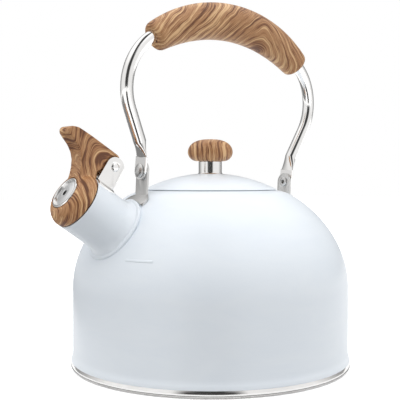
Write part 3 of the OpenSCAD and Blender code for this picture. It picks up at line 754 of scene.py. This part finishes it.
knobWood = woodMaterial("knobWood", woodPrint, (0, 0, camera["azimuth"]), (-0.1, 0.08, 0.15), 4)
capWood = woodMaterial("capWood", woodPrint, (0, -31, 0), (-0.094, -0.007, 0.145), 31, -0.15, 0.003)
gripWood = woodMaterial("gripWood", woodPrint, (0, 5, 0), (0.035, -0.0125, 0.231), 42, -0.112, 0.006)
discSteel = coatedMaterial("discSteel", brushLines, {"Metallic": 1.0}, 0.3, 0.4,
                           ((0.8, 0.8, 0.8), (0.88, 0.88, 0.88)), (0.02, 0.00004), 1800.0)
bodyPiece()
spoutPiece()
basePiece()
print("stage: body, spout, base")
lidPiece()
knobPieces()
print("stage: lid")
capPiece()
whistlePieces()
print("stage: whistle")
armPiece("frontArm", -1, "front_arm")
armPiece("rearArm", 1, "rear_arm")
gripPiece()
print("stage: bail")

# small metal parts keep their CAD shape, with their edges broken
easedParts = {
    "hinge_bracket": ("hingeBracket", "kettle", "polished_steel", polishedSteel, 0.25),
    "hinge_pin": ("hingePin", "kettle", "polished_steel", polishedSteel, 0.15),
    "front_bracket": ("frontBracket", "kettle", "satin_steel", satinSteel, 0.25),
    "rear_bracket": ("rearBracket", "kettle", "satin_steel", satinSteel, 0.25),
    "front_rivet": ("frontRivet", "kettle", "satin_steel", satinSteel, 0.2),
    "rear_rivet": ("rearRivet", "kettle", "satin_steel", satinSteel, 0.2),
}
for node, (name, owner, slot, material, width) in easedParts.items():
    finishPiece(eased(node, name, width), owner, slot, material, node)

# the rest stay as CAD nodes, with their own finish
nodeFinishes = {
    "heat_disc": heatAluminium, "base_cap": satinSteel, "lever_spring": satinSteel,
    "grip_screws": satinSteel, "lid_skirt": innerSteel, "knob_insert": turnedBrass,
    "knob_screw": satinSteel, "knob_washer": innerSteel, "whistle_rear_disc": innerSteel,
    "whistle_plug": innerSteel,
}
for node, material in nodeFinishes.items():
    nodes[node].data.materials.clear()
    nodes[node].data.materials.append(material)
print("stage: small parts")


# studio: white floor, wide soft boxes at both sides and above, a dark gap behind the camera
studio = {
    "mirror": (0.22, 0.36, 0.98, 0.06, 1.3),     # behind, beside behind, sides, gap, top: seen in the metal
    "mirrorSides": (0.2, 0.5),                 # where the two tones beside and sides are reached
    "fill": (0.8, 0.9, 1.0, 0.2, 1.8),        # the same places, as they light a matt surface
    "fillSides": (0.06, 0.2),
    "gapPlaces": (0.93, 0.972), "topPlaces": (0.45, 0.75),
    "floor": (0.93, 0.96), "fillFloor": 0.38, "floorGlow": 0.4,
    # dark floor sheets that only polished metal sees, as painted dark reflections
    "strip": [(-45, -150), (-400, -1600), (400, -1600), (45, -150)], "stripTone": 0.03,
    "left": [(-230, 1500), (-1500, 1500), (-1500, -600), (-230, -250)], "leftTone": 0.16,
    # the dark ring hugging the base is painted contact shade, reflected low in the polished rim
    "ringIn": 100.6, "ringOut": 103.4, "ringShadeTone": 0.1,
    "overhead": (0.16, 0.28),                    # half width of the dark gap, carried on over the object
}


def layCard(card, tone):
    # a dark sheet on the floor that only polished metal sees: a painted dark reflection, not seen by the
    # camera, not lit and casting no shade
    darkReflectionPaint = newMaterial(card.name + "Paper", {"Base Color": (tone, tone, tone, 1), "Roughness": 0.9})[0]
    card.data.materials.append(darkReflectionPaint)
    card.visible_camera = card.visible_diffuse = card.visible_shadow = False


def blend(tree, fac, a, b):
    mix = tree.nodes.new('ShaderNodeMix')
    mix.data_type = 'RGBA'
    tree.links.new(fac, mix.inputs["Factor"])
    for socket, value in ((mix.inputs[6], a), (mix.inputs[7], b)):
        if isinstance(value, (int, float)):
            socket.default_value = (value, value, value, 1)
        else:
            tree.links.new(value, socket)
    return mix.outputs[2]


def skyTone(tree, fac, above, tones, places):
    behind, beside, sides, gap, top = tones
    sideEnd, gapStart = studio["gapPlaces"]
    around = rampNode(tree, fac, [(0.0, behind), (1.0, gap), (places[0], beside), (places[1], sides),
                                  (sideEnd, sides), (gapStart, gap)])
    return blend(tree, above, around, top)


def addStudio():
    # the strip in front and the sheet on the left are painted dark reflections in the metal
    strip = slab("darkReflectionStrip", studio["strip"], 0.2, 0.3, Matrix.Rotation(viewTurn, 4, 'Z'))
    layCard(strip, studio["stripTone"])
    left = slab("darkReflectionLeft", studio["left"], 0.2, 0.3, Matrix.Rotation(viewTurn, 4, 'Z'))
    layCard(left, studio["leftTone"])
    # painted contact shade: a dark ring round the base, seen only in the polished rim
    inside, outside = studio["ringIn"], studio["ringOut"]
    ring = spinOutline("contactShadeRing", [(inside, 0.1), (outside, 0.1), (outside, 0.2), (inside, 0.2)], 96)
    layCard(ring, studio["ringShadeTone"])
    deselectAll()
    bpy.ops.mesh.primitive_plane_add(size=8)
    floor = bpy.context.object
    floor.name = "studioFloor"
    made, tree, shader = newMaterial("floorPaper", {"Roughness": 0.9})
    grain = noiseNode(tree, mappedCoords(tree), 40, 4)
    tone = rampNode(tree, grain, [(0.3, studio["floor"][0]), (0.7, studio["floor"][1])])
    matt = tree.nodes.new('ShaderNodeLightPath').outputs["Is Diffuse Ray"]
    tree.links.new(blend(tree, matt, tone, studio["fillFloor"]), shader.inputs["Base Color"])
    shader.inputs["Emission Color"].default_value = (1, 1, 1, 1)
    seen = tree.nodes.new('ShaderNodeLightPath').outputs["Is Camera Ray"]
    tree.links.new(mathNode(tree, 'MULTIPLY', seen, studio["floorGlow"]), shader.inputs["Emission Strength"])
    floor.data.materials.append(made)

    world = bpy.data.worlds.new("studioWorld")
    scene.world = world
    world.use_nodes = True
    tree = world.node_tree
    background = tree.nodes["Background"]
    direction = tree.nodes.new('ShaderNodeTexCoord').outputs["Generated"]
    split = tree.nodes.new('ShaderNodeSeparateXYZ')
    tree.links.new(direction, split.inputs[0])
    height = split.outputs["Z"]
    level = mathNode(tree, 'SQRT', mathNode(tree, 'SUBTRACT', 1.0001, mathNode(tree, 'POWER', height, 2)))
    facing = mathNode(tree, 'DIVIDE', vectorNode(tree, 'DOT_PRODUCT', direction, viewSide), level)
    fac = mathNode(tree, 'MULTIPLY', mathNode(tree, 'ADD', facing, 1), 0.5, True)
    low, high = studio["topPlaces"]
    above = rampNode(tree, height, [(low, 0.0), (high, 1.0)])
    path = tree.nodes.new('ShaderNodeLightPath')
    mirror = skyTone(tree, fac, above, studio["mirror"], studio["mirrorSides"])
    sideways = vectorNode(tree, 'DOT_PRODUCT', direction, (viewSide.y, -viewSide.x, 0))
    acrossView = mathNode(tree, 'ABSOLUTE', sideways)
    forwards = vectorNode(tree, 'DOT_PRODUCT', direction, viewSide)
    inFront = rampNode(tree, forwards, [(0.0, 0.0), (0.15, 1.0)])
    near, far = studio["overhead"]
    overhead = mathNode(tree, 'MULTIPLY', inFront, rampNode(tree, acrossView, [(near, 1.0), (far, 0.0)]))
    mirror = blend(tree, overhead, mirror, studio["mirror"][3])
    fill = skyTone(tree, fac, above, studio["fill"], studio["fillSides"])
    lit = blend(tree, path.outputs["Is Diffuse Ray"], mirror, fill)
    tree.links.new(blend(tree, path.outputs["Is Camera Ray"], lit, 1), background.inputs["Color"])
    world.cycles.sampling_method = 'NONE'     # matt and mirror light differ, so only traced rays may ask
    scene.view_settings.view_transform = 'Standard'


addStudio()
addCamera()
print("stage: studio")
